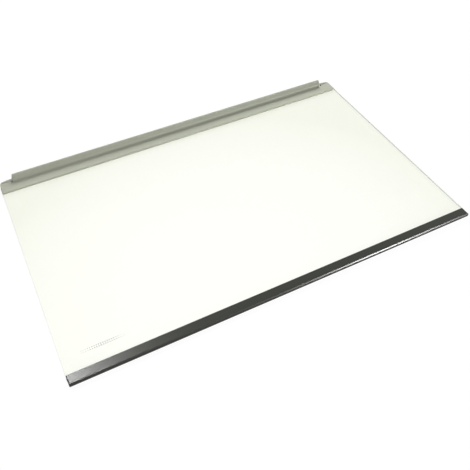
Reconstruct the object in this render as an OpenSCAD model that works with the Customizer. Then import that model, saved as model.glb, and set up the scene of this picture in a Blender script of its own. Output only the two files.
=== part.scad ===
// Refrigerator shelf: a toughened glass panel between a front trim and a rear trim.
// X runs along the shelf, Y from front to back and Z up, in millimetres. The origin is under the
// middle of the shelf, on the plane that both trims rest on.

/* [Shelf] */
// Depth of the whole shelf, from the front face to the back face
shelf_d = 299; // [240:1:380]
// How far each trim stops short of the glass, at each end
trim_inset = 0.5; // [0.2:0.1:3]

/* [Glass] */
// Width of the glass
glass_w = 475; // [380:1:560]
// Thickness of the glass
glass_t = 4; // [3:0.1:6]
// Radius of the corners of the glass, seen from above
glass_corner_r = 3; // [1:0.1:6]
// Width of the ground bevel round the edges of the glass
glass_arris = 0.4; // [0.2:0.05:0.8]

/* [Grip of both trims on the glass] */
// Thickness of the floor of each trim, under the glass
floor_t = 1.2; // [1:0.1:2]
// Height of the beads that press the glass up against the roof of the trim
bead_h = 0.3; // [0.2:0.05:0.6]
// Width of the flat top of a bead
bead_w = 0.8; // [0.5:0.1:1.5]
// Distance from the mouth of the trim, or from the edge of the glass, to the middle of a bead
bead_inset = 2; // [1.6:0.1:3]
// Lead-in bevel at the mouth of the trim
lead_in = 0.4; // [0.2:0.05:0.6]
// Thickness of the ribs that stop the glass inside a trim
rib_t = 1.2; // [0.8:0.1:2.5]
// Distance between two ribs, as near as the length allows
rib_pitch = 46; // [20:1:90]
// Distance from the end of the trim to the first rib
rib_end = 30; // [26:1:45]

/* [Front trim] */
// Depth of the front trim
front_d = 10.9; // [10:0.1:18]
// Thickness of its roof, over the glass
front_roof_t = 1.2; // [1:0.1:2.2]
// Thickness of its front wall
front_wall_t = 1.2; // [0.9:0.1:1.8]
// Distance from the front face to the glass
front_set = 3.5; // [3:0.1:5]
// Width of the polished bevel along the front and the ends of the roof
front_bevel = 1; // [0.5:0.1:1.2]
// Radius of the rounded edge under the front face
front_nose_r = 4.5; // [3:0.1:4.8]
// Width of the slope from the roof down to the glass
front_slope_w = 0.8; // [0.4:0.1:1.6]
// Fall of that slope
front_slope_h = 0.6; // [0.2:0.1:0.8]
// Thickness of the wall that closes the hollow nose at each end
front_end_t = 1.2; // [0.8:0.1:4]

/* [Rear trim] */
// Depth of the rear trim
rear_d = 19.6; // [15:0.1:30]
// Thickness of its roof, over the glass
rear_roof_t = 1.4; // [1.2:0.1:2.2]
// Rounding of the front edge and the ends of the roof
rear_edge_r = 0.8; // [0.4:0.1:1]
// Thickness of the back wall and of the upright lip on it
lip_t = 2; // [1.6:0.1:3]
// Height of the lip above the glass
lip_h = 9.9; // [8:0.1:30]
// Radius of the hollow between the roof and the lip
cove_r = 3; // [1.5:0.1:4.5]
// Rounding along the top of the lip
lip_top_r = 0.7; // [0.3:0.1:0.75]
// Distance from the end of the trim to the end of the lip, measured at the top
lip_end = 17.3; // [14:0.1:24]
// How much further the lip reaches at its foot than at its top
lip_lean = 2; // [0.5:0.1:4]
// Rounding of the top corners of the lip
lip_corner_r = 1; // [0.5:0.1:2]
// Height of the low shoulder above the glass, where it leaves the lip
shoulder_h = 3.2; // [2.6:0.1:4.4]
// Radius of the rear corners, seen from above
rear_corner_r = 4; // [2:0.1:6]
// Distance from the glass to the back wall
rear_gutter = 3.2; // [3.2:0.1:6]
// Thickness of the block that closes the gutter at each end
rear_end_t = 5; // [4.5:0.1:7]
// Diameter of the relief hole at the foot of each end of the lip
relief_d = 3; // [1.5:0.1:3]
// Material left between that hole and the back wall
relief_land = 0.2; // [0.1:0.05:0.5]

/* [Hidden] */
$fn = 96;
over = 1;
lap = 0.4;

// Lengths and heights that the three pieces share
trim_len = glass_w - 2 * trim_inset;
glass_z = floor_t + bead_h;
roof_z = glass_z + glass_t;
y_face = -shelf_d / 2;
y_back = shelf_d / 2;
glass_y0 = y_face + front_set;
glass_y1 = y_back - lip_t - rear_gutter;
glass_d = glass_y1 - glass_y0;

// Rib places: the first and last stand rib_end from the ends, the rest are spread evenly
rib_gaps = max(1, round((trim_len - 2 * rib_end) / rib_pitch));
rib_step = (trim_len - 2 * rib_end) / rib_gaps;
function rib_x(i) = -trim_len / 2 + rib_end + i * rib_step;

// Front trim
front_top = roof_z + front_roof_t;

// Rear trim
rear_top = roof_z + rear_roof_t;
lip_top = roof_z + lip_h;
lip_half = trim_len / 2 - lip_end;
foot_half = lip_half + lip_lean;
foot_z = roof_z + shoulder_h;
shoulder_half = trim_len / 2 - rear_edge_r;
relief_x = foot_half + relief_d / 6;
relief_y = y_back - lip_t - relief_land - relief_d / 2;

// What lies between a square corner at the origin and the arc that rounds it. Taken away, it
// rounds an outer corner; added, it fills an inner one.
module spandrel(r, margin = over) {
    difference() {
        translate([-margin, -margin]) square(r + margin);
        translate([r, r]) circle(r);
    }
}

// Extrudes an outline drawn in Y and Z along X, between two places.
module along_x(x0, x1) {
    translate([x0, 0, 0]) rotate([90, 0, 90]) linear_extrude(x1 - x0) children();
}

// Extrudes an outline drawn in X and Z along Y, between two places.
module along_y(y0, y1) {
    translate([0, y1, 0]) rotate([90, 0, 0]) linear_extrude(y1 - y0) children();
}

// A bead with sloping flanks, standing on z = 0, seen end on.
module bead() {
    polygon([
        [-bead_w / 2 - bead_h, -lap], [bead_w / 2 + bead_h, -lap], [bead_w / 2 + bead_h, 0],
        [bead_w / 2, bead_h], [-bead_w / 2, bead_h], [-bead_w / 2 - bead_h, 0]
    ]);
}

// The slot that takes the glass: from its closed end, at y = 0, to its mouth at y = depth.
// Two beads stand on its floor, and the mouth opens with a lead-in bevel.
module slot(depth) {
    difference() {
        translate([0, floor_t]) square([depth + over, glass_t + bead_h]);
        translate([bead_inset, floor_t]) bead();
        translate([depth - bead_inset, floor_t]) bead();
    }
    polygon([
        [depth - lead_in, floor_t + lap], [depth - lead_in, floor_t], [depth, floor_t - lead_in],
        [depth + over, floor_t - lead_in], [depth + over, floor_t + lap]
    ]);
}

// Hollows out a trim behind or in front of the glass, and leaves a rib standing at each rib place.
module bays(end_t) {
    half = trim_len / 2;
    for (i = [-1 : rib_gaps]) {
        x0 = i < 0 ? -half + end_t : rib_x(i) + rib_t / 2;
        x1 = i == rib_gaps ? half - end_t : rib_x(i + 1) - rib_t / 2;
        along_x(x0, x1) children();
    }
}

// Glass: a slab with rounded corners and a ground bevel all round.
module glass_edge(reach) {
    polygon([
        [-over, glass_z], [reach - glass_arris, glass_z], [reach, glass_z + glass_arris],
        [reach, roof_z - glass_arris], [reach - glass_arris, roof_z], [-over, roof_z]
    ]);
}

module glass_bar(reach) {
    glass_edge(reach);
    mirror([1, 0]) glass_edge(reach);
}

module glass_corner() {
    rotate_extrude() intersection() {
        glass_edge(glass_corner_r);
        square([glass_corner_r, roof_z]);
    }
}

module glass_panel() {
    mid_y = (glass_y0 + glass_y1) / 2;
    corner_x = glass_w / 2 - glass_corner_r;
    corner_y = glass_d / 2 - glass_corner_r;
    color("mintcream", 0.5) translate([0, mid_y, 0]) {
        along_x(-corner_x, corner_x) glass_bar(glass_d / 2);
        along_y(-corner_y, corner_y) glass_bar(glass_w / 2);
        for (sx = [-1, 1], sy = [-1, 1]) {
            translate([sx * corner_x, sy * corner_y, 0]) glass_corner();
        }
    }
}

// Front trim: outer outline seen from the side, with y = 0 at the front face.
module front_outline() {
    difference() {
        polygon([
            [0, 0], [0, front_top - front_bevel], [front_bevel, front_top],
            [front_d - front_slope_w, front_top], [front_d, front_top - front_slope_h], [front_d, 0]
        ]);
        spandrel(front_nose_r);
        translate([front_d, 0]) mirror([1, 0]) spandrel(lead_in);
    }
}

// Front trim: the hollow of the nose, in front of the glass.
module front_hollow() {
    hollow_r = front_nose_r - front_wall_t;
    difference() {
        translate([front_wall_t, floor_t]) square([front_set - front_wall_t + lap, glass_t + bead_h]);
        translate([front_wall_t, floor_t]) spandrel(hollow_r);
    }
}

// Front trim: outline seen from the front, with the bevel carried down over both ends.
module front_elevation() {
    half = trim_len / 2;
    polygon([
        [-half, 0], [half, 0], [half, front_top - front_bevel], [half - front_bevel, front_top],
        [front_bevel - half, front_top], [-half, front_top - front_bevel]
    ]);
}

module front_trim() {
    half = trim_len / 2;
    color("dimgray") translate([0, y_face, 0]) difference() {
        intersection() {
            along_x(-half, half) difference() {
                front_outline();
                translate([front_set, 0]) slot(front_d - front_set);
            }
            along_y(-over, front_d + over) front_elevation();
        }
        bays(front_end_t) front_hollow();
    }
}

// Rear trim: floor, back wall and roof seen from the side, with y = 0 at the back face and the
// trim reaching towards +y, so that it is turned round when it is placed.
module rear_channel() {
    difference() {
        square([rear_d, rear_top]);
        spandrel(rear_edge_r);
        translate([rear_d, 0]) mirror([1, 0]) spandrel(lead_in);
        translate([rear_d, rear_top]) rotate(180) spandrel(rear_edge_r);
        translate([lip_t + rear_gutter, 0]) slot(rear_d - lip_t - rear_gutter);
    }
}

// Rear trim: the upright lip with the hollow cove at its foot, seen from the side.
module lip_section() {
    difference() {
        translate([0, roof_z]) square([lip_t, lip_h]);
        translate([0, lip_top]) mirror([0, 1]) spandrel(lip_top_r);
        translate([lip_t, lip_top]) rotate(180) spandrel(lip_top_r);
    }
    translate([lip_t, rear_top]) spandrel(cove_r, lap);
}

// Rear trim: outline of the lip seen from the front. Its ends lean outwards, its top corners are
// rounded, and a low shoulder falls from each foot to the roof in one arc.
module lip_elevation() {
    rise = lip_top - foot_z;
    slant = sqrt(rise * rise + lip_lean * lip_lean);
    corner_x = lip_half - lip_corner_r * (slant - lip_lean) / rise;
    corner_z = lip_top - lip_corner_r;
    side_x = corner_x + lip_corner_r * rise / slant;
    side_z = corner_z + lip_corner_r * lip_lean / slant;
    polygon([
        [-foot_half, roof_z - over], [foot_half, roof_z - over], [foot_half, foot_z],
        [side_x, side_z], [corner_x, lip_top], [-corner_x, lip_top],
        [-side_x, side_z], [-foot_half, foot_z]
    ]);
    run = shoulder_half - foot_half;
    fall = foot_z - rear_top;
    arc_r = (run * run + fall * fall) / (2 * fall);
    for (side = [0, 1]) mirror([side, 0]) {
        translate([corner_x, corner_z]) circle(lip_corner_r);
        intersection() {
            translate([foot_half - over, roof_z]) square([run + over, foot_z - roof_z]);
            translate([foot_half, foot_z - arc_r]) circle(arc_r);
        }
    }
}

// Rear trim: outline of the channel seen from the front, with its ends eased.
module channel_elevation() {
    half = trim_len / 2;
    difference() {
        translate([-half, 0]) square([trim_len, rear_top]);
        for (side = [0, 1]) mirror([side, 0]) {
            translate([half, rear_top]) rotate(180) spandrel(rear_edge_r);
        }
    }
}

// Rear trim: outline seen from above, with its rear corners rounded.
module rear_plan() {
    half = trim_len / 2;
    difference() {
        translate([-half, -rear_d]) square([trim_len, rear_d]);
        for (side = [0, 1]) mirror([side, 0]) {
            translate([half, 0]) rotate(180) spandrel(rear_corner_r);
            translate([half, -rear_d]) rotate(90) spandrel(rear_edge_r);
        }
    }
}

module rear_trim() {
    half = trim_len / 2;
    color("darkgray") difference() {
        translate([0, y_back, 0]) difference() {
            intersection() {
                union() {
                    intersection() {
                        along_x(-half, half) mirror([1, 0]) rear_channel();
                        along_y(-rear_d - over, over) channel_elevation();
                    }
                    intersection() {
                        along_x(-half, half) mirror([1, 0]) lip_section();
                        along_y(-rear_d - over, over) lip_elevation();
                    }
                }
                linear_extrude(lip_top + over) rear_plan();
            }
            bays(rear_end_t) mirror([1, 0]) translate([lip_t, floor_t]) {
                square([rear_gutter + lap, glass_t + bead_h]);
            }
        }
        for (side = [-1, 1]) {
            translate([side * relief_x, relief_y, roof_z - lap]) cylinder(d = relief_d, h = lip_h);
        }
    }
}

glass_panel();
front_trim();
rear_trim();
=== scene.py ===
"""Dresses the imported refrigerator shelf: a toughened glass panel between a front trim and a rear trim.

Lengths are in metres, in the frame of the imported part: X along the shelf, Y from the front trim to
the rear trim, Z up, with the origin under the middle of the shelf.
"""

import logging
import math
from dataclasses import dataclass
from enum import Enum
from typing import Iterable, Sequence

import bmesh
import bpy
from mathutils import Matrix, Vector


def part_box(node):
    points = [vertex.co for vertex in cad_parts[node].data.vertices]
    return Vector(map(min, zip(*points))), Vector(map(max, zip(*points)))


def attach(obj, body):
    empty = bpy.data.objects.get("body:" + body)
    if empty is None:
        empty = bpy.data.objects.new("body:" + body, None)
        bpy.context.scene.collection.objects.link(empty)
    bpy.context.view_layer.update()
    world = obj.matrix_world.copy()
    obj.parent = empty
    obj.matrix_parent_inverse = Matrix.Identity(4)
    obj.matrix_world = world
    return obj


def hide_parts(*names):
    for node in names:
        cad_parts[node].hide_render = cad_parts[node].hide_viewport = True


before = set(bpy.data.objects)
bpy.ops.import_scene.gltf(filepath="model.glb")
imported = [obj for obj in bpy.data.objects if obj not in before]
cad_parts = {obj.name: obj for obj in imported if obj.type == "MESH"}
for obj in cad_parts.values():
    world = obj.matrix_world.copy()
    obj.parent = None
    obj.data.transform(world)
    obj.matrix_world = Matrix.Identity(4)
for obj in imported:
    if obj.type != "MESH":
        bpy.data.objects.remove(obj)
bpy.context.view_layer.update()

MM = 0.001
BODY = "root"
SMOOTH_ANGLE = math.radians(32)
FLAT_SIDE_WEIGHT = 100
MERGE = 1e-7
DIGITS = 7
SHARPEST_TURN = 0.5
QUARTER_TURN = 90
CHANNEL_TOP = 255
CURVE_START = 0.04045
CURVE_SLOPE = 12.92
CURVE_OFFSET = 0.055
CURVE_POWER = 2.4
MIX_FIRST, MIX_SECOND, MIX_RESULT = 6, 7, 2

log = logging.getLogger("shelf")

Colour = tuple[float, float, float, float]
Point = tuple[float, float]


def display_colour(red: float, green: float, blue: float) -> Colour:
    """Turns a display colour into the linear colour that shaders take.

    Args:
        red: Red, from 0 to 255.
        green: Green, from 0 to 255.
        blue: Blue, from 0 to 255.

    Returns:
        The linear colour, opaque.
    """

    def linear(value: float) -> float:
        """Undoes the display curve of one channel.

        Args:
            value: The channel, from 0 to 255.

        Returns:
            The linear value, from 0 to 1.
        """
        share = value / CHANNEL_TOP
        curved = ((share + CURVE_OFFSET) / (1 + CURVE_OFFSET)) ** CURVE_POWER
        return share / CURVE_SLOPE if share <= CURVE_START else curved

    return (linear(red), linear(green), linear(blue), 1.0)


class Sheet:
    """A node tree with short calls to add and to link nodes."""

    def __init__(self, tree: bpy.types.NodeTree) -> None:
        """Keeps the tree and empties it."""
        self.tree = tree
        tree.nodes.clear()

    def add(self, kind: str, **settings: object) -> bpy.types.Node:
        """Adds a node and sets its properties.

        Args:
            kind: The node's type name.
            settings: Properties of the node by name.

        Returns:
            The new node.
        """
        node = self.tree.nodes.new(kind)
        for name, value in settings.items():
            setattr(node, name, value)
        return node

    def link(self, source: bpy.types.NodeSocket, target: bpy.types.NodeSocket) -> None:
        """Links an output to an input."""
        self.tree.links.new(source, target)

    def math(self, operation: str, first: object, second: object) -> bpy.types.NodeSocket:
        """Adds a Math node.

        Args:
            operation: The operation's name.
            first: A socket or a number.
            second: A socket or a number.

        Returns:
            The node's output.
        """
        node = self.add("ShaderNodeMath", operation=operation)
        for socket, value in zip(node.inputs, (first, second)):
            if isinstance(value, (int, float)):
                socket.default_value = value
            else:
                self.link(value, socket)
        return node.outputs[0]


def new_material(name: str) -> tuple[bpy.types.Material, Sheet]:
    """Makes an empty material with nodes.

    Args:
        name: The material's name.

    Returns:
        The material and its node sheet.
    """
    material = bpy.data.materials.new(name)
    material.use_nodes = True
    return material, Sheet(material.node_tree)


def seen_directly(sheet: Sheet) -> bpy.types.NodeSocket:
    """Gives 1 for rays from the camera, from gloss and through glass, and 0 for all others.

    Args:
        sheet: The tree that gets the nodes.

    Returns:
        The socket that holds the answer.
    """
    path = sheet.add("ShaderNodeLightPath")
    gloss = sheet.math(
        "MAXIMUM", path.outputs["Is Camera Ray"], path.outputs["Is Glossy Ray"]
    )
    return sheet.math("MAXIMUM", gloss, path.outputs["Is Transmission Ray"])


class GrainGroup:
    """The shader node group for the surface that a mould leaves on plastic."""

    NAME = "moulded_grain"
    FINE_DETAIL = 3.0
    BROAD_DETAIL = 2.0
    INPUTS = (
        ("Place", "NodeSocketVector", None),
        ("Colour", "NodeSocketColor", (0.5, 0.5, 0.5, 1.0)),
        ("Grain Scale", "NodeSocketFloat", 2500.0),
        ("Mottle", "NodeSocketFloat", 0.05),
        ("Mottle Scale", "NodeSocketFloat", 90.0),
        ("Roughness", "NodeSocketFloat", 0.4),
        ("Roughness Spread", "NodeSocketFloat", 0.08),
    )
    OUTPUTS = (
        ("Colour", "NodeSocketColor"),
        ("Roughness", "NodeSocketFloat"),
        ("Height", "NodeSocketFloat"),
    )

    @classmethod
    def get(cls) -> bpy.types.NodeTree:
        """Returns the group, which is built on the first call."""
        return bpy.data.node_groups.get(cls.NAME) or cls.build()

    @classmethod
    def build(cls) -> bpy.types.NodeTree:
        """Builds the group.

        Returns:
            The group's node tree.
        """
        tree = bpy.data.node_groups.new(cls.NAME, "ShaderNodeTree")
        for name, kind, value in cls.INPUTS:
            socket = tree.interface.new_socket(name, in_out="INPUT", socket_type=kind)
            if value is not None:
                socket.default_value = value
        for name, kind in cls.OUTPUTS:
            tree.interface.new_socket(name, in_out="OUTPUT", socket_type=kind)
        sheet = Sheet(tree)
        given = sheet.add("NodeGroupInput").outputs
        result = sheet.add("NodeGroupOutput").inputs
        fine = cls.noise(sheet, given["Place"], given["Grain Scale"], cls.FINE_DETAIL)
        broad = cls.noise(sheet, given["Place"], given["Mottle Scale"], cls.BROAD_DETAIL)
        both = sheet.math("ADD", sheet.math("MULTIPLY", fine, 0.5), sheet.math("MULTIPLY", broad, 0.5))
        centred = sheet.math("SUBTRACT", both, 0.5)
        value = sheet.math("ADD", sheet.math("MULTIPLY", centred, given["Mottle"]), 1.0)
        shade = sheet.add("ShaderNodeVectorMath", operation="SCALE")
        sheet.link(given["Colour"], shade.inputs[0])
        sheet.link(value, shade.inputs["Scale"])
        sheet.link(shade.outputs[0], result["Colour"])
        spread = sheet.math("MULTIPLY", centred, given["Roughness Spread"])
        sheet.link(sheet.math("ADD", spread, given["Roughness"]), result["Roughness"])
        sheet.link(fine, result["Height"])
        return tree

    @staticmethod
    def noise(
        sheet: Sheet, place: bpy.types.NodeSocket, scale: bpy.types.NodeSocket, detail: float
    ) -> bpy.types.NodeSocket:
        """Adds a noise texture.

        Args:
            sheet: The tree that gets the node.
            place: Where the texture reads its place from.
            scale: The texture's scale.
            detail: How many octaves it has.

        Returns:
            The texture's value.
        """
        node = sheet.add("ShaderNodeTexNoise")
        node.inputs["Detail"].default_value = detail
        sheet.link(place, node.inputs["Vector"])
        sheet.link(scale, node.inputs["Scale"])
        return node.outputs["Fac"]


@dataclass(frozen=True)
class MouldedPlastic:
    """A moulded plastic surface, from matte to polished."""

    name: str
    colour: Colour
    roughness: float
    specular: float = 0.5
    grain: float = 0.4 * MM
    relief: float = 0.01 * MM
    mottle: float = 0.06
    mottle_size: float = 11 * MM
    roughness_spread: float = 0.1

    def build(self) -> bpy.types.Material:
        """Builds the material.

        Returns:
            The material.
        """
        material, sheet = new_material(self.name)
        place = sheet.add("ShaderNodeTexCoord").outputs["Object"]
        surface = sheet.add("ShaderNodeGroup", node_tree=GrainGroup.get())
        sheet.link(place, surface.inputs["Place"])
        surface.inputs["Colour"].default_value = self.colour
        surface.inputs["Grain Scale"].default_value = 1 / self.grain
        surface.inputs["Mottle"].default_value = self.mottle
        surface.inputs["Mottle Scale"].default_value = 1 / self.mottle_size
        surface.inputs["Roughness"].default_value = self.roughness
        surface.inputs["Roughness Spread"].default_value = self.roughness_spread
        bump = sheet.add("ShaderNodeBump")
        bump.inputs["Strength"].default_value = 1.0
        bump.inputs["Distance"].default_value = self.relief
        sheet.link(surface.outputs["Height"], bump.inputs["Height"])
        shader = sheet.add("ShaderNodeBsdfPrincipled")
        shader.inputs["Specular IOR Level"].default_value = self.specular
        sheet.link(surface.outputs["Colour"], shader.inputs["Base Color"])
        sheet.link(surface.outputs["Roughness"], shader.inputs["Roughness"])
        sheet.link(bump.outputs["Normal"], shader.inputs["Normal"])
        output = sheet.add("ShaderNodeOutputMaterial")
        sheet.link(shader.outputs["BSDF"], output.inputs["Surface"])
        return material


@dataclass(frozen=True)
class ShelfGlass:
    """Toughened glass, clear on its faces or ground along its edges."""

    name: str
    tint: Colour
    # The rim colour is the glass's tint plus painted shade, which darkens the sheet towards its edges.
    rim_tint_with_painted_shade: Colour
    roughness: float
    shade: Colour
    refraction: float = 1.5
    ripple: float = 0.0
    ripple_scale: float = 900.0
    # Power, middle and reach shape how the painted shade deepens from the middle towards the rim.
    painted_shade_power: float = 3.0
    middle: tuple[float, float, float] = (-0.03, -0.09, 0.0)
    reach: tuple[float, float, float] = (0.28, 0.25, 1.0)

    def build(self) -> bpy.types.Material:
        """Builds the material. Light from the lamps passes it as through a thin tinted film.

        Returns:
            The material.
        """
        material, sheet = new_material(self.name)
        shader = sheet.add("ShaderNodeBsdfPrincipled")
        sheet.link(self.tint_with_painted_shade(sheet), shader.inputs["Base Color"])
        shader.inputs["Roughness"].default_value = self.roughness
        shader.inputs["IOR"].default_value = self.refraction
        shader.inputs["Transmission Weight"].default_value = 1.0
        if self.ripple:
            place = sheet.add("ShaderNodeTexCoord").outputs["Object"]
            noise = sheet.add("ShaderNodeTexNoise")
            noise.inputs["Scale"].default_value = self.ripple_scale
            sheet.link(place, noise.inputs["Vector"])
            bump = sheet.add("ShaderNodeBump")
            bump.inputs["Distance"].default_value = self.ripple
            sheet.link(noise.outputs["Fac"], bump.inputs["Height"])
            sheet.link(bump.outputs["Normal"], shader.inputs["Normal"])
        film = sheet.add("ShaderNodeBsdfTransparent")
        film.inputs["Color"].default_value = self.shade
        mix = sheet.add("ShaderNodeMixShader")
        path = sheet.add("ShaderNodeLightPath")
        sheet.link(path.outputs["Is Shadow Ray"], mix.inputs[0])
        sheet.link(shader.outputs["BSDF"], mix.inputs[1])
        sheet.link(film.outputs["BSDF"], mix.inputs[2])
        output = sheet.add("ShaderNodeOutputMaterial")
        sheet.link(mix.outputs["Shader"], output.inputs["Surface"])
        return material

    def tint_with_painted_shade(self, sheet: Sheet) -> bpy.types.NodeSocket:
        """Adds the tint with painted shade: the colour darkens softly from the middle of the sheet to
        its rim, most towards the rear corners, standing in for the darker surroundings seen there.

        Args:
            sheet: The material's node sheet.

        Returns:
            The socket with the tint.
        """
        place = sheet.add("ShaderNodeTexCoord").outputs["Object"]
        offset = sheet.add("ShaderNodeVectorMath", operation="SUBTRACT")
        offset.inputs[1].default_value = self.middle
        sheet.link(place, offset.inputs[0])
        share = sheet.add("ShaderNodeVectorMath", operation="DIVIDE")
        share.inputs[1].default_value = self.reach
        sheet.link(offset.outputs[0], share.inputs[0])
        length = sheet.add("ShaderNodeVectorMath", operation="LENGTH")
        sheet.link(share.outputs[0], length.inputs[0])
        fall = sheet.math("POWER", length.outputs["Value"], self.painted_shade_power)
        mix = sheet.add("ShaderNodeMix", data_type="RGBA")
        sheet.link(sheet.math("MINIMUM", fall, 1.0), mix.inputs["Factor"])
        mix.inputs[MIX_FIRST].default_value = self.tint
        mix.inputs[MIX_SECOND].default_value = self.rim_tint_with_painted_shade
        return mix.outputs[MIX_RESULT]


@dataclass(frozen=True)
class FrostedPrint:
    """The thin frosted print on the glass."""

    name: str
    colour: Colour
    roughness: float = 0.6
    alpha: float = 0.3

    def build(self) -> bpy.types.Material:
        """Builds the material.

        Returns:
            The material.
        """
        material, sheet = new_material(self.name)
        shader = sheet.add("ShaderNodeBsdfPrincipled")
        shader.inputs["Base Color"].default_value = self.colour
        shader.inputs["Roughness"].default_value = self.roughness
        shader.inputs["Alpha"].default_value = self.alpha
        output = sheet.add("ShaderNodeOutputMaterial")
        sheet.link(shader.outputs["BSDF"], output.inputs["Surface"])
        return material


GRAPHITE_SATIN = MouldedPlastic(
    name="graphite_satin",
    colour=display_colour(26, 29, 19),
    roughness=0.3,
    specular=0.5,
    mottle=0.25,
    mottle_size=5 * MM,
)
GRAPHITE_POLISHED = MouldedPlastic(
    name="graphite_polished",
    colour=display_colour(26, 29, 19),
    roughness=0.28,
    specular=0.5,
    relief=0.001 * MM,
    mottle=0.05,
)
GREY_MATTE = MouldedPlastic(
    name="grey_matte",
    colour=display_colour(168, 171, 156),
    roughness=0.5,
    specular=0.5,
    mottle=0.05,
    mottle_size=9 * MM,
)
# The rim colours of both glasses hold painted shade that darkens them towards the edges and rear
# corners.
CLEAR_GLASS = ShelfGlass(
    name="clear_glass",
    tint=(0.965, 0.97, 0.92, 1.0),
    rim_tint_with_painted_shade=(0.88, 0.89, 0.8, 1.0),
    roughness=0.0,
    shade=(0.97, 0.98, 0.95, 1.0),
)
GROUND_GLASS = ShelfGlass(
    name="ground_glass_edge",
    tint=(0.62, 0.66, 0.6, 1.0),
    rim_tint_with_painted_shade=(0.6, 0.64, 0.58, 1.0),
    roughness=0.35,
    shade=(0.85, 0.88, 0.83, 1.0),
    ripple=0.02 * MM,
)
GRAPHITE_PLAIN = MouldedPlastic(
    name="graphite_plain",
    colour=display_colour(24, 25, 21),
    roughness=0.5,
    specular=0.2,
    mottle=0.1,
)
DOT_PRINT = FrostedPrint(name="frosted_print", colour=display_colour(140, 144, 136), alpha=0.45)


@dataclass(frozen=True)
class Corner:
    """A corner of an outline, with the arc that rounds it and the finish of the side after it."""

    u: float
    z: float
    radius: float = 0.0
    steps: int = 0
    finish: int = 0


def unit(dx: float, dz: float) -> tuple[float, float, float]:
    """Splits a step into its direction and its length.

    Args:
        dx: The step along the first axis.
        dz: The step along the second axis.

    Returns:
        Both parts of the unit direction, and the length.
    """
    length = math.hypot(dx, dz)
    return (dx / length, dz / length, length) if length > MERGE else (0.0, 0.0, 0.0)


def round_outline(corners: Sequence[Corner]) -> tuple[list[Point], list[int]]:
    """Rounds each corner of a closed outline with its arc.

    The count of points depends on the corners' steps alone, so two outlines with the same corners
    can be joined point by point. An arc that would pass the middle ground it shares with its
    neighbour gets smaller.

    Args:
        corners: The corners in order.

    Returns:
        The points, and the finish of the side that leaves each point.
    """
    count = len(corners)
    sides = [
        unit(corners[(i + 1) % count].u - c.u, corners[(i + 1) % count].z - c.z)
        for i, c in enumerate(corners)
    ]
    halves, reach = [], []
    for i, corner in enumerate(corners):
        into, out = sides[i - 1], sides[i]
        cosine = max(-1.0, min(1.0, into[0] * out[0] + into[1] * out[1]))
        half = math.acos(cosine) / 2
        halves.append(half)
        reach.append(corner.radius * math.tan(half) if into[2] and out[2] else 0.0)
    limited = list(reach)
    for i in range(count):
        other = (i + 1) % count
        wanted = reach[i] + reach[other]
        if wanted > sides[i][2] and wanted > 0:
            limited[i] = min(limited[i], sides[i][2] * reach[i] / wanted)
            limited[other] = min(limited[other], sides[i][2] * reach[other] / wanted)
    points, finishes = [], []
    for i, corner in enumerate(corners):
        into, out, cut = sides[i - 1], sides[i], limited[i]
        start = (corner.u - into[0] * cut, corner.z - into[1] * cut)
        turn = math.copysign(1, into[0] * out[1] - into[1] * out[0])
        radius = cut / math.tan(halves[i]) if cut > MERGE else 0.0
        centre = (start[0] - turn * into[1] * radius, start[1] + turn * into[0] * radius)
        for step in range(corner.steps + 1):
            angle = turn * 2 * halves[i] * step / max(corner.steps, 1)
            du, dz = start[0] - centre[0], start[1] - centre[1]
            cosine, sine = math.cos(angle), math.sin(angle)
            if radius:
                points.append(
                    (centre[0] + du * cosine - dz * sine, centre[1] + du * sine + dz * cosine)
                )
            else:
                points.append((corner.u, corner.z))
            finishes.append(corner.finish)
    return points, finishes


def shrink(points: Sequence[Point], amount: float) -> list[Point]:
    """Moves a closed outline inwards.

    Args:
        points: The outline, counter-clockwise.
        amount: How far each side moves.

    Returns:
        The moved points.
    """
    if amount <= 0:
        return list(points)
    count = len(points)
    area = sum(
        a[0] * b[1] - a[1] * b[0] for a, b in zip(points, list(points[1:]) + [points[0]])
    )
    way = math.copysign(1, area)
    moved = []
    for i, point in enumerate(points):
        before, after = points[i - 1], points[(i + 1) % count]
        a = unit(point[0] - before[0], point[1] - before[1])
        b = unit(after[0] - point[0], after[1] - point[1])
        a, b = (a if a[2] else b), (b if b[2] else a)
        u, z, length = unit(a[0] + b[0], a[1] + b[1])
        if not length:
            u, z = a[0], a[1]
        stretch = 1 / max(SHARPEST_TURN, u * a[0] + z * a[1])
        moved.append((point[0] - way * z * amount * stretch, point[1] + way * u * amount * stretch))
    return moved


def quarter_drop(radius: float, distance: float) -> float:
    """Gives how far a rounded edge has fallen back.

    Args:
        radius: The edge's radius.
        distance: The distance from the end that the edge leads to.

    Returns:
        The fall, from the whole radius at the end to nothing where the arc starts.
    """
    if distance >= radius:
        return 0.0
    return radius - math.sqrt(radius**2 - (radius - max(distance, 0.0)) ** 2)


def mesh_object(
    name: str, bm: bmesh.types.BMesh, materials: Iterable[bpy.types.Material]
) -> bpy.types.Object:
    """Turns a bmesh into an object at the origin.

    Args:
        name: The object's name.
        bm: The bmesh, which is freed.
        materials: The materials in slot order.

    Returns:
        The object, linked to the scene.
    """
    bmesh.ops.remove_doubles(bm, verts=bm.verts, dist=MERGE)
    bmesh.ops.dissolve_degenerate(bm, edges=bm.edges, dist=MERGE)
    bmesh.ops.recalc_face_normals(bm, faces=bm.faces)
    mesh = bpy.data.meshes.new(name)
    bm.to_mesh(mesh)
    bm.free()
    for material in materials:
        mesh.materials.append(material)
    piece = bpy.data.objects.new(name, mesh)
    bpy.context.scene.collection.objects.link(piece)
    return piece


def bake_modifiers(piece: bpy.types.Object) -> None:
    """Replaces a piece's mesh by what its modifiers make of it, and removes them.

    Args:
        piece: The piece.
    """
    graph = bpy.context.evaluated_depsgraph_get()
    made = bpy.data.meshes.new_from_object(
        piece.evaluated_get(graph), preserve_all_data_layers=True, depsgraph=graph
    )
    old = piece.data
    piece.modifiers.clear()
    piece.data = made
    made.name = piece.name
    bpy.data.meshes.remove(old)


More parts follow.
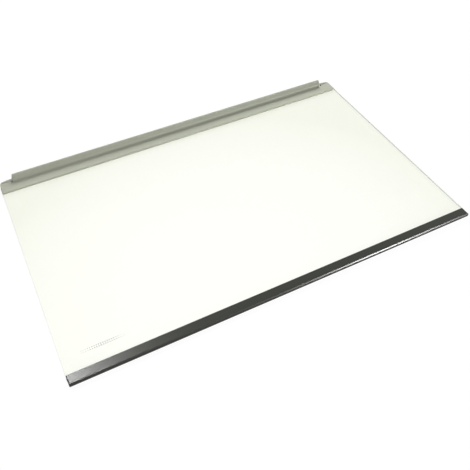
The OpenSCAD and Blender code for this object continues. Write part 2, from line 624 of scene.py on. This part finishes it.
def smooth(piece: bpy.types.Object) -> None:
    """Shades a piece smooth between its sharp edges, and keeps its large flat sides flat.

    Args:
        piece: The piece.
    """
    piece.data.shade_smooth()
    piece.data.set_sharp_from_angle(angle=SMOOTH_ANGLE)
    weights = piece.modifiers.new("weights", "WEIGHTED_NORMAL")
    weights.keep_sharp = True
    weights.weight = FLAT_SIDE_WEIGHT
    bake_modifiers(piece)


def place_on_part(piece: bpy.types.Object, slot: str, *nodes: str) -> None:
    """Lets a finished piece ride on the shelf.

    Args:
        piece: The piece.
        slot: The record's material slot; not used.
        nodes: The CAD nodes that the piece replaces.
    """
    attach(piece, BODY)
    if nodes:
        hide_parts(*nodes)
    log.info("%s: %d faces", piece.name, len(piece.data.polygons))


class RowTree:
    """The Geometry Nodes tree that repeats a piece's own mesh along a row, or in several rows."""

    NAME = "row_of_copies"
    INPUTS = (
        ("Geometry", "NodeSocketGeometry", None),
        ("Columns", "NodeSocketInt", 1),
        ("Rows", "NodeSocketInt", 1),
        ("Start", "NodeSocketVector", None),
        ("Column Step", "NodeSocketFloat", 0.01),
        ("Row Step", "NodeSocketFloat", 0.01),
        ("Smallest", "NodeSocketFloat", 1.0),
        ("Material", "NodeSocketMaterial", None),
    )

    @classmethod
    def get(cls) -> bpy.types.NodeTree:
        """Returns the tree, which is built on the first call."""
        return bpy.data.node_groups.get(cls.NAME) or cls.build()

    @classmethod
    def build(cls) -> bpy.types.NodeTree:
        """Builds the tree: places from the index, one copy on each, made real and dressed.

        Returns:
            The node tree.
        """
        tree = bpy.data.node_groups.new(cls.NAME, "GeometryNodeTree")
        for name, kind, value in cls.INPUTS:
            socket = tree.interface.new_socket(name, in_out="INPUT", socket_type=kind)
            if value is not None:
                socket.default_value = value
        tree.interface.new_socket("Geometry", in_out="OUTPUT", socket_type="NodeSocketGeometry")
        sheet = Sheet(tree)
        given = sheet.add("NodeGroupInput").outputs
        result = sheet.add("NodeGroupOutput").inputs
        index = sheet.add("GeometryNodeInputIndex").outputs[0]
        column = sheet.math("FLOORED_MODULO", index, given["Columns"])
        row = sheet.math("FLOOR", sheet.math("DIVIDE", index, given["Columns"]), 0.0)
        step = sheet.add("ShaderNodeCombineXYZ")
        sheet.link(sheet.math("MULTIPLY", column, given["Column Step"]), step.inputs["X"])
        sheet.link(sheet.math("MULTIPLY", row, given["Row Step"]), step.inputs["Y"])
        place = sheet.add("ShaderNodeVectorMath", operation="ADD")
        sheet.link(given["Start"], place.inputs[0])
        sheet.link(step.outputs[0], place.inputs[1])
        points = sheet.add("GeometryNodePoints")
        sheet.link(sheet.math("MULTIPLY", given["Columns"], given["Rows"]), points.inputs["Count"])
        sheet.link(place.outputs[0], points.inputs["Position"])
        copies = sheet.add("GeometryNodeInstanceOnPoints")
        sheet.link(points.outputs[0], copies.inputs["Points"])
        sheet.link(given["Geometry"], copies.inputs["Instance"])
        sheet.link(cls.size(sheet, column, given), copies.inputs["Scale"])
        real = sheet.add("GeometryNodeRealizeInstances")
        sheet.link(copies.outputs[0], real.inputs[0])
        dress = sheet.add("GeometryNodeSetMaterial")
        sheet.link(real.outputs[0], dress.inputs["Geometry"])
        sheet.link(given["Material"], dress.inputs["Material"])
        sheet.link(dress.outputs[0], result["Geometry"])
        return tree

    @staticmethod
    def size(
        sheet: Sheet, column: bpy.types.NodeSocket, given: bpy.types.NodeOutputs
    ) -> bpy.types.NodeSocket:
        """Adds the nodes for the copies' sizes, which fall towards both ends of the row.

        Args:
            sheet: The tree.
            column: The copy's place in its row.
            given: The tree's inputs.

        Returns:
            The scale of a copy along X and Y, with Z left at 1.
        """
        last = sheet.math("MAXIMUM", sheet.math("SUBTRACT", given["Columns"], 1.0), 1.0)
        share = sheet.math("DIVIDE", column, last)
        centred = sheet.math("SUBTRACT", sheet.math("MULTIPLY", share, 2.0), 1.0)
        fall = sheet.math("POWER", sheet.math("ABSOLUTE", centred, 0.0), 2.0)
        lost = sheet.math("MULTIPLY", fall, sheet.math("SUBTRACT", 1.0, given["Smallest"]))
        scale = sheet.math("SUBTRACT", 1.0, lost)
        axes = sheet.add("ShaderNodeCombineXYZ")
        axes.inputs["Z"].default_value = 1.0
        sheet.link(scale, axes.inputs["X"])
        sheet.link(scale, axes.inputs["Y"])
        return axes.outputs[0]

    @classmethod
    def apply(cls, piece: bpy.types.Object, **values: object) -> None:
        """Repeats a piece's mesh and keeps the result as its plain mesh.

        Args:
            piece: The piece whose mesh is repeated.
            values: The tree's inputs, by name with underscores for spaces.
        """
        tree = cls.get()
        modifier = piece.modifiers.new("row", "NODES")
        modifier.node_group = tree
        sockets = {s.name: s.identifier for s in tree.interface.items_tree if s.in_out == "INPUT"}
        for name, value in values.items():
            modifier[sockets[name.replace("_", " ")]] = value
        bake_modifiers(piece)


class End(Enum):
    """The two ends of a trim."""

    LEFT = -1
    RIGHT = 1


@dataclass
class Grip:
    """How both trims hold the glass: floor, beads, lead-in and the ribs that stop it."""

    floor: float = 1.2 * MM
    bead_height: float = 0.3 * MM
    bead_top: float = 0.8 * MM
    bead_inset: float = 2 * MM
    lead_in: float = 0.4 * MM
    lead_in_steps: int = 4
    ease: float = 0.1 * MM
    ease_steps: int = 2
    rib: float = 1.2 * MM
    rib_draft: float = 0.08 * MM
    rib_pitch: float = 46 * MM
    rib_end: float = 30 * MM
    roof_z: float = 5.5 * MM

    def bead(self, middle: float) -> list[Corner]:
        """Gives the corners of a bead on the floor, in the order of rising u.

        Args:
            middle: The place of the bead's middle in the section.

        Returns:
            The corners.
        """
        half = self.bead_top / 2
        foot = half + self.bead_height
        top = self.floor + self.bead_height
        return [
            Corner(middle - foot, self.floor),
            Corner(middle - half, top, self.ease, self.ease_steps),
            Corner(middle + half, top, self.ease, self.ease_steps),
            Corner(middle + foot, self.floor),
        ]

    def mouth(self, depth: float) -> list[Corner]:
        """Gives the corners of the lead-in bevel where the glass goes in.

        Args:
            depth: The place of the mouth in the section.

        Returns:
            The corners.
        """
        return [
            Corner(depth - self.lead_in, self.floor, self.ease, self.ease_steps),
            Corner(depth, self.floor - self.lead_in, self.ease, self.ease_steps),
        ]

    def rib_places(self, length: float) -> tuple[int, float, float]:
        """Spreads the ribs over a trim.

        Args:
            length: The length of the trim.

        Returns:
            The count of ribs, the place of the first and the step between two.
        """
        span = length - 2 * self.rib_end
        gaps = max(1, round(span / self.rib_pitch))
        return gaps + 1, self.rib_end - length / 2, span / gaps


@dataclass
class Trim:
    """A moulded strip whose section changes only near its ends."""

    grip: Grip
    node: str
    slot: str
    end_round: float = 0.15 * MM
    end_round_share: float = 0.3

    def __post_init__(self) -> None:
        """Reads the strip's place from the CAD node."""
        self.low, self.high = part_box(self.node)
        self.half = self.high.x
        self.depth = self.high.y - self.low.y

    def outline(self, distance: float) -> tuple[list[Point], list[int]]:
        """Gives the section at a distance from the strip's end."""
        raise NotImplementedError

    def stations(self) -> list[float]:
        """Gives the distances from the end at which the section is needed."""
        raise NotImplementedError

    def to_y(self, u: float) -> float:
        """Turns a depth in the section into a place along Y."""
        raise NotImplementedError

    def loft(self) -> bmesh.types.BMesh:
        """Joins the sections from end to end and closes both ends.

        Returns:
            The closed strip.
        """
        bm = bmesh.new()
        loops = []
        near = sorted(self.stations())
        for end, order in ((End.LEFT, near), (End.RIGHT, near[::-1])):
            for distance in order:
                points, finishes = self.outline(distance)
                points = shrink(points, quarter_drop(self.end_round, distance))
                x = end.value * (self.half - distance)
                loops.append([bm.verts.new((x, self.to_y(u), z)) for u, z in points])
        count = len(finishes)
        for first, second in zip(loops, loops[1:]):
            for i, finish in enumerate(finishes):
                j = (i + 1) % count
                face = bm.faces.new((first[i], first[j], second[j], second[i]))
                face.material_index = finish
        for cap in (loops[0], loops[-1]):
            bm.faces.new(cap)
        return bm

    def ribs(self, u0: float, u1: float, height: float, material: bpy.types.Material) -> None:
        """Makes the row of ribs that stops the glass inside the strip.

        Args:
            u0: Where a rib starts in the section.
            u1: Where it ends.
            height: How far it stands up from the floor of the strip.
            material: Its material.
        """
        bm = bmesh.new()
        rows = []
        for z, ease in ((0.0, 0.0), (height, self.grip.rib_draft)):
            reach = self.grip.rib / 2 - ease
            rows.append(
                [
                    bm.verts.new((x, self.to_y(u), self.grip.floor + z))
                    for x, u in ((-reach, u0), (reach, u0), (reach, u1), (-reach, u1))
                ]
            )
        for i in range(4):
            j = (i + 1) % 4
            bm.faces.new((rows[0][i], rows[0][j], rows[1][j], rows[1][i]))
        bm.faces.new(rows[0])
        bm.faces.new(rows[1])
        piece = mesh_object(f"{self.node}_stop_ribs", bm, [material])
        count, start, step = self.grip.rib_places(2 * self.half)
        RowTree.apply(
            piece,
            Columns=count,
            Rows=1,
            Start=(start, 0.0, 0.0),
            Column_Step=step,
            Row_Step=0.0,
            Smallest=1.0,
            Material=material,
        )
        place_on_part(piece, self.slot)


@dataclass
class FrontTrim(Trim):
    """The graphite strip along the front edge, with its polished bevel."""

    node: str = "front_trim"
    slot: str = "front_trim"
    wall: float = 1.2 * MM
    set_back: float = 3.5 * MM
    bevel: float = 1 * MM
    nose: float = 3.5 * MM
    slope_width: float = 0.5 * MM
    slope_fall: float = 0.3 * MM
    end_wall: float = 1.2 * MM
    edge: float = 0.12 * MM
    edge_steps: int = 2
    nose_steps: int = 14
    hollow_steps: int = 6
    crease: float = 0.06 * MM
    crease_share: float = 0.85
    wall_draft: float = 0.3 * MM

    def to_y(self, u: float) -> float:
        """Turns a distance behind the front face into a place along Y."""
        return self.low.y + u

    def stations(self) -> list[float]:
        """Gives the distances from the end at which the section is needed.

        Returns:
            The distances.
        """
        return [
            0.0,
            self.end_round_share * self.end_round,
            self.end_round,
            self.bevel - self.slope_fall,
            self.crease_share * self.bevel,
            self.bevel - self.crease / 2,
            self.bevel + self.crease,
            self.end_wall,
            self.end_wall + self.wall_draft,
        ]

    def outline(self, distance: float) -> tuple[list[Point], list[int]]:
        """Gives the section at a distance from the strip's end.

        Args:
            distance: The distance from the end.

        Returns:
            The points, and the finish of the side that leaves each point.
        """
        grip, top, depth, edge = self.grip, self.high.z, self.depth, self.edge
        rest = self.bevel - distance
        cut = min(self.bevel, (rest + math.hypot(rest, self.crease)) / 2)
        crown = top - cut
        slope_run = self.slope_width * min(cut / self.slope_fall, 1.0)
        closed = min(max(1 - (distance - self.end_wall) / self.wall_draft, 0.0), 1.0)
        hollow = self.wall + (self.set_back - self.wall) * closed
        steps = self.edge_steps
        corners = [
            Corner(depth, 0.0, grip.lead_in, grip.lead_in_steps),
            Corner(0.0, 0.0, self.nose, self.nose_steps),
            Corner(0.0, top - self.bevel, edge, steps, finish=1),
            Corner(self.bevel - cut, crown, edge, steps, finish=2),
            Corner(depth - self.slope_width + slope_run, crown, edge, steps),
            Corner(depth, min(top - self.slope_fall, crown), edge, steps),
            Corner(depth, grip.roof_z),
            Corner(hollow, grip.roof_z),
            Corner(hollow, grip.floor, self.nose - self.wall, self.hollow_steps),
            *grip.bead(self.set_back + grip.bead_inset),
            *grip.bead(depth - grip.bead_inset),
            *grip.mouth(depth),
        ]
        return round_outline(corners)

    def build(
        self,
        plain: bpy.types.Material,
        polished: bpy.types.Material,
        satin: bpy.types.Material,
    ) -> None:
        """Builds the strip and its ribs.

        Args:
            plain: The material of its nose, underside and inside.
            polished: The material of its bevel.
            satin: The material of its roof.
        """
        piece = mesh_object("front_moulding", self.loft(), [plain, polished, satin])
        smooth(piece)
        place_on_part(piece, self.slot, self.node)
        self.ribs(self.wall - self.edge, self.set_back, self.grip.roof_z - self.grip.floor, plain)


@dataclass
class RearTrim(Trim):
    """The grey strip along the rear edge, with the upright lip that stops things sliding off."""

    node: str = "rear_trim"
    slot: str = "rear_trim"
    roof: float = 1.4 * MM
    edge: float = 0.8 * MM
    edge_steps: int = 6
    lip: float = 2 * MM
    lip_round: float = 0.7 * MM
    lip_round_steps: int = 5
    cove: float = 3 * MM
    cove_steps: int = 10
    lip_end: float = 17.3 * MM
    lip_lean: float = 2 * MM
    lip_corner: float = 1 * MM
    shoulder: float = 3.2 * MM
    corner: float = 4 * MM
    gutter: float = 3.2 * MM
    gutter_round: float = 0.3 * MM
    gutter_steps: int = 3
    end_block: float = 5 * MM
    block_draft: float = 0.3 * MM
    relief: float = 3 * MM
    relief_land: float = 0.2 * MM
    relief_shift: float = 0.5 * MM
    relief_depth: float = 0.4 * MM
    relief_sides: int = 32
    cutter_height: float = 20 * MM
    floor_short: float = 2.6 * MM
    shoulder_parts: int = 6
    side_parts: int = 4

    def __post_init__(self) -> None:
        """Works out the shape of the lip's end from the sizes."""
        super().__post_init__()
        self.top = self.high.z
        self.roof_top = self.grip.roof_z + self.roof
        self.lip_half = self.half - self.lip_end
        self.foot_half = self.lip_half + self.lip_lean
        self.foot_z = self.grip.roof_z + self.shoulder
        self.shoulder_half = self.half - self.edge
        rise = self.top - self.foot_z
        slant = math.hypot(rise, self.lip_lean)
        self.corner_x = self.lip_half - self.lip_corner * (slant - self.lip_lean) / rise
        self.corner_z = self.top - self.lip_corner
        self.side_x = self.corner_x + self.lip_corner * rise / slant
        self.side_z = self.corner_z + self.lip_corner * self.lip_lean / slant
        run, fall = self.shoulder_half - self.foot_half, self.foot_z - self.roof_top
        self.arc = (run**2 + fall**2) / (2 * fall)

    def to_y(self, u: float) -> float:
        """Turns a distance in front of the back face into a place along Y."""
        return self.high.y - u

    def crown(self, x: float) -> float:
        """Gives the height of the lip, or of the shoulder beside it.

        Args:
            x: The distance from the middle of the shelf.

        Returns:
            The height of the top edge there.
        """
        if x <= self.corner_x:
            return self.top
        if x <= self.side_x:
            return self.corner_z + math.sqrt(max(self.lip_corner**2 - (x - self.corner_x) ** 2, 0.0))
        if x <= self.foot_half:
            share = (x - self.side_x) / (self.foot_half - self.side_x)
            return self.side_z + (self.foot_z - self.side_z) * share
        if x <= self.shoulder_half:
            return self.foot_z - self.arc + math.sqrt(self.arc**2 - (x - self.foot_half) ** 2)
        return self.roof_top

    def stations(self) -> list[float]:
        """Gives the distances from the end at which the section is needed.

        Returns:
            The distances, closer together along every arc.
        """
        rounding = [0.0, self.end_round_share * self.end_round, self.end_round]
        ends = [self.corner * (1 - math.cos(math.radians(a))) for a in range(15, 91, 15)]
        edge = [self.edge * (1 - math.cos(math.radians(a))) for a in (45, 70, 90)]
        block = [self.end_block, self.end_block + self.block_draft]
        run = self.shoulder_half - self.foot_half
        parts = self.shoulder_parts
        shoulder = [self.half - self.foot_half - run * i / parts for i in range(parts - 1)]
        lean, parts = self.foot_half - self.side_x, self.side_parts
        side = [self.half - self.side_x - lean * i / parts for i in range(parts)]
        tip = self.side_x - self.corner_x
        round_top = [
            self.half - self.corner_x - tip * math.sin(math.radians(a)) for a in range(0, 90, 18)
        ]
        every = rounding + ends + edge + block + shoulder + side + round_top
        return sorted({round(distance, DIGITS) for distance in every})

    def outline(self, distance: float) -> tuple[list[Point], list[int]]:
        """Gives the section at a distance from the strip's end.

        Args:
            distance: The distance from the end.

        Returns:
            The points, and the finish of the side that leaves each point.
        """
        grip = self.grip
        back = quarter_drop(self.corner, distance)
        eased = quarter_drop(self.edge, distance)
        front, roof = self.depth - eased, self.roof_top - eased
        crown = max(self.crown(self.half - distance) - eased, roof)
        lip = max(self.lip, back)
        closed = min(max(1 - (distance - self.end_block) / self.block_draft, 0.0), 1.0)
        wall = self.lip + self.gutter * closed
        foot = front - self.floor_short
        corners = [
            Corner(foot, 0.0, grip.lead_in, grip.lead_in_steps),
            Corner(back, 0.0, self.edge, self.edge_steps),
            Corner(back, crown, self.lip_round, self.lip_round_steps),
            Corner(lip, crown, self.lip_round, self.lip_round_steps),
            Corner(lip, roof, self.cove, self.cove_steps),
            Corner(front, roof, self.edge, self.edge_steps),
            Corner(front, grip.roof_z, grip.ease, grip.ease_steps),
            Corner(wall, grip.roof_z, self.gutter_round, self.gutter_steps),
            Corner(wall, grip.floor, self.gutter_round, self.gutter_steps),
            *grip.bead(self.lip + self.gutter + grip.bead_inset),
            *grip.bead(self.depth - self.floor_short - grip.bead_inset),
            *grip.mouth(foot),
        ]
        return round_outline(corners)

    def relief_cutter(self) -> bpy.types.Object:
        """Makes the two round cutters for the relief holes at the feet of the lip.

        Returns:
            The cutters as one object.
        """
        bm = bmesh.new()
        bottom, height = self.grip.roof_z - self.relief_depth, self.cutter_height
        u = self.lip + self.relief_land + self.relief / 2
        for end in End:
            x = end.value * (self.foot_half + self.relief_shift)
            place = Matrix.Translation((x, self.to_y(u), bottom + height / 2))
            bmesh.ops.create_cone(
                bm,
                cap_ends=True,
                segments=self.relief_sides,
                radius1=self.relief / 2,
                radius2=self.relief / 2,
                depth=height,
                matrix=place,
            )
        return mesh_object("relief_cutter", bm, [])

    def build(self, matte: bpy.types.Material) -> None:
        """Builds the strip with its relief holes, and its ribs.

        Args:
            matte: The material of the strip.
        """
        piece = mesh_object("rear_moulding", self.loft(), [matte])
        cutter = self.relief_cutter()
        holes = piece.modifiers.new("relief", "BOOLEAN")
        holes.operation = "DIFFERENCE"
        holes.solver = "EXACT"
        holes.object = cutter
        bake_modifiers(piece)
        bpy.data.objects.remove(cutter)
        smooth(piece)
        place_on_part(piece, self.slot, self.node)
        inner = self.lip + self.gutter
        self.ribs(self.lip - self.grip.ease, inner, self.grip.roof_z - self.grip.floor, matte)


@dataclass
class GlassPanel:
    """The toughened glass, with ground edges and a row of frosted dots."""

    node: str = "glass_panel"
    slot: str = "glass"
    corner: float = 3 * MM
    arris: float = 0.4 * MM
    film: float = 0.02 * MM
    corner_steps: int = 10
    arris_steps: int = 4
    dot: float = 1.3 * MM
    dot_height: float = 0.02 * MM
    dot_sides: int = 20
    smallest_dot: float = 0.45
    dot_pitch: float = 2.2 * MM
    dot_columns: int = 21
    dot_rows: int = 2
    dots_left: float = 20.5 * MM
    dots_front: float = 19 * MM

    def __post_init__(self) -> None:
        """Reads the panel's place from the CAD node."""
        low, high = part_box(self.node)
        gap = Vector((self.film, self.film, self.film))
        self.low, self.high = low + gap, high - gap

    def ring(self, bm: bmesh.types.BMesh, inset: float, z: float) -> list[bmesh.types.BMVert]:
        """Adds one ring of points round the panel.

        Args:
            bm: The bmesh that gets the points.
            inset: How far the ring lies inside the panel's edge.
            z: Its height.

        Returns:
            The points in order.
        """
        radius = self.corner - inset
        points = []
        for quarter in range(4):
            sx = 1 if quarter in (0, 3) else -1
            sy = 1 if quarter in (0, 1) else -1
            cx = (self.high.x if sx > 0 else self.low.x) - sx * self.corner
            cy = (self.high.y if sy > 0 else self.low.y) - sy * self.corner
            for step in range(self.corner_steps + 1):
                angle = math.radians(QUARTER_TURN * (quarter + step / self.corner_steps))
                points.append(
                    bm.verts.new((cx + radius * math.cos(angle), cy + radius * math.sin(angle), z))
                )
        return points

    def build(self, clear: bpy.types.Material, ground: bpy.types.Material) -> None:
        """Builds the panel.

        Args:
            clear: The material of its faces.
            ground: The material of its edges.
        """
        bm = bmesh.new()
        profile = []
        for step in range(self.arris_steps + 1):
            angle = math.radians(QUARTER_TURN * step / self.arris_steps)
            fall = self.arris * (1 - math.cos(angle))
            inset = self.arris * (1 - math.sin(angle))
            profile.append((inset, self.low.z + fall))
        profile += [(inset, self.low.z + self.high.z - z) for inset, z in profile[::-1]]
        rings = [self.ring(bm, inset, z) for inset, z in profile]
        count = len(rings[0])
        for first, second in zip(rings, rings[1:]):
            for i in range(count):
                j = (i + 1) % count
                bm.faces.new((first[i], first[j], second[j], second[i])).material_index = 1
        bm.faces.new(rings[0])
        bm.faces.new(rings[-1])
        piece = mesh_object("glass_sheet", bm, [clear, ground])
        smooth(piece)
        place_on_part(piece, self.slot, self.node)

    def build_dots(self, frosted: bpy.types.Material) -> None:
        """Builds the plain row of frosted dots near the front left corner.

        Args:
            frosted: Their material.
        """
        bm = bmesh.new()
        bmesh.ops.create_cone(
            bm,
            cap_ends=True,
            segments=self.dot_sides,
            radius1=self.dot / 2,
            radius2=self.dot / 2 - self.dot_height,
            depth=self.dot_height,
        )
        piece = mesh_object("frosted_dots", bm, [frosted])
        trim_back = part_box("front_trim")[1].y
        start = (
            self.low.x + self.dots_left,
            trim_back + self.dots_front - self.dot_pitch,
            self.high.z + self.dot_height / 2,
        )
        RowTree.apply(
            piece,
            Columns=self.dot_columns,
            Rows=self.dot_rows,
            Start=start,
            Column_Step=self.dot_pitch,
            Row_Step=self.dot_pitch,
            Smallest=self.smallest_dot,
            Material=frosted,
        )
        place_on_part(piece, self.slot)


@dataclass(frozen=True)
class Softbox:
    """A square studio lamp with a diffuser."""

    name: str
    place: tuple[float, float, float]
    aim: tuple[float, float, float]
    size: float
    power: float
    spread: float = 180.0
    mirrored: bool = True

    def build(self) -> None:
        """Adds the lamp, which the camera doesn't see."""
        light = bpy.data.lights.new(self.name, "AREA")
        light.shape = "DISK"
        light.size = self.size
        light.energy = self.power
        light.spread = math.radians(self.spread)
        lamp = bpy.data.objects.new(self.name, light)
        way = Vector(self.aim) - Vector(self.place)
        turn = way.to_track_quat("-Z", "Y").to_matrix().to_4x4()
        lamp.matrix_world = Matrix.Translation(self.place) @ turn
        lamp.visible_camera = False
        lamp.visible_glossy = self.mirrored
        lamp.visible_transmission = self.mirrored
        bpy.context.scene.collection.objects.link(lamp)


@dataclass
class Studio:
    """The white floor, the soft lamps and the camera."""

    floor_half: float = 5.0
    floor_drop: float = 0.05 * MM
    floor_glow: float = 0.95
    floor_tone: float = 0.06
    floor_bounce: float = 0.9
    ambient: float = 0.22
    lamps: tuple[Softbox, ...] = (
        Softbox("overhead_softbox", (0.02, -0.25, 1.2), (0.0, 0.05, 0.0), 0.7, 0.2),
        Softbox("back_softbox", (0.45, 1.0, 0.85), (0.0, 0.1, 0.0), 0.5, 17.0, mirrored=False),
        Softbox("front_softbox", (-0.9, -1.1, 0.5), (0.0, 0.1, 0.0), 0.6, 3.3),
        Softbox("left_lamp", (-0.37, 0.47, 1.03), (-0.21, -0.2, 0.0), 0.16, 0.26, spread=36.0),
        Softbox("right_lamp", (0.72, -1.04, 0.54), (0.03, 0.0, 0.0), 0.24, 2.4, spread=90.0),
    )
    eye: tuple[float, float, float] = (-0.2116, -0.4351, 0.4889)
    azimuth: float = 26.886
    pitch: float = 48.592
    roll: float = -0.153
    focal_px: float = 573.7
    frame_px: float = 470.0
    sensor: float = 36.0
    nearest: float = 10 * MM

    def build_floor(self) -> None:
        """Builds the floor: white to the eye, with the shelf's faint shadow, and open from below."""
        material, sheet = new_material("studio_floor")
        glow = sheet.add("ShaderNodeEmission")
        glow.inputs["Strength"].default_value = self.floor_glow
        shaded = sheet.add("ShaderNodeBsdfDiffuse")
        shaded.inputs["Color"].default_value = (*(self.floor_tone,) * 3, 1.0)
        both = sheet.add("ShaderNodeAddShader")
        sheet.link(glow.outputs[0], both.inputs[0])
        sheet.link(shaded.outputs[0], both.inputs[1])
        plain = sheet.add("ShaderNodeBsdfDiffuse")
        plain.inputs["Color"].default_value = (*(self.floor_bounce,) * 3, 1.0)
        seen = sheet.add("ShaderNodeMixShader")
        sheet.link(seen_directly(sheet), seen.inputs[0])
        sheet.link(plain.outputs[0], seen.inputs[1])
        sheet.link(both.outputs[0], seen.inputs[2])
        below = sheet.add("ShaderNodeMixShader")
        sheet.link(sheet.add("ShaderNodeNewGeometry").outputs["Backfacing"], below.inputs[0])
        sheet.link(seen.outputs[0], below.inputs[1])
        sheet.link(sheet.add("ShaderNodeBsdfTransparent").outputs[0], below.inputs[2])
        sheet.link(below.outputs[0], sheet.add("ShaderNodeOutputMaterial").inputs["Surface"])
        bm = bmesh.new()
        bmesh.ops.create_grid(
            bm,
            x_segments=1,
            y_segments=1,
            size=self.floor_half,
            matrix=Matrix.Translation((0, 0, -self.floor_drop)),
        )
        mesh_object("floor", bm, [material])

    def build_world(self) -> None:
        """Builds the white surroundings, which give the shelf only a plain soft light."""
        world = bpy.data.worlds.new("surroundings")
        world.use_nodes = True
        sheet = Sheet(world.node_tree)
        background = sheet.add("ShaderNodeBackground")
        level = sheet.math("MULTIPLY", seen_directly(sheet), 1 - self.ambient)
        sheet.link(sheet.math("ADD", level, self.ambient), background.inputs["Strength"])
        background.inputs["Color"].default_value = (1.0, 1.0, 1.0, 1.0)
        sheet.link(background.outputs[0], sheet.add("ShaderNodeOutputWorld").inputs["Surface"])
        bpy.context.scene.world = world

    def build_camera(self) -> None:
        """Adds the camera at the photograph's place."""
        azimuth, pitch, roll = (math.radians(a) for a in (self.azimuth, self.pitch, self.roll))
        ahead = Vector(
            (
                math.sin(azimuth) * math.cos(pitch),
                math.cos(azimuth) * math.cos(pitch),
                -math.sin(pitch),
            )
        )
        level = Vector((math.cos(azimuth), -math.sin(azimuth), 0.0))
        above = level.cross(ahead)
        right = level * math.cos(roll) + above * math.sin(roll)
        up = above * math.cos(roll) - level * math.sin(roll)
        lens = bpy.data.cameras.new("camera")
        lens.sensor_width = self.sensor
        lens.lens = self.focal_px / self.frame_px * self.sensor
        lens.clip_start = self.nearest
        camera = bpy.data.objects.new("camera", lens)
        turn = Matrix((right, up, -ahead)).transposed().to_4x4()
        camera.matrix_world = Matrix.Translation(self.eye) @ turn
        bpy.context.scene.collection.objects.link(camera)
        bpy.context.scene.camera = camera

    def build(self) -> None:
        """Builds the whole studio."""
        self.build_camera()
        self.build_floor()
        self.build_world()
        for lamp in self.lamps:
            lamp.build()
        bpy.context.scene.view_settings.view_transform = "Standard"


def main() -> None:
    """Builds the studio and dresses the shelf piece by piece."""
    logging.basicConfig(level=logging.INFO, format="%(name)s: %(message)s")
    Studio().build()
    grip = Grip()
    FrontTrim(grip).build(
        GRAPHITE_PLAIN.build(), GRAPHITE_POLISHED.build(), GRAPHITE_SATIN.build()
    )
    RearTrim(grip).build(GREY_MATTE.build())
    panel = GlassPanel()
    panel.build(CLEAR_GLASS.build(), GROUND_GLASS.build())
    panel.build_dots(DOT_PRINT.build())


if __name__ == "__main__":
    main()
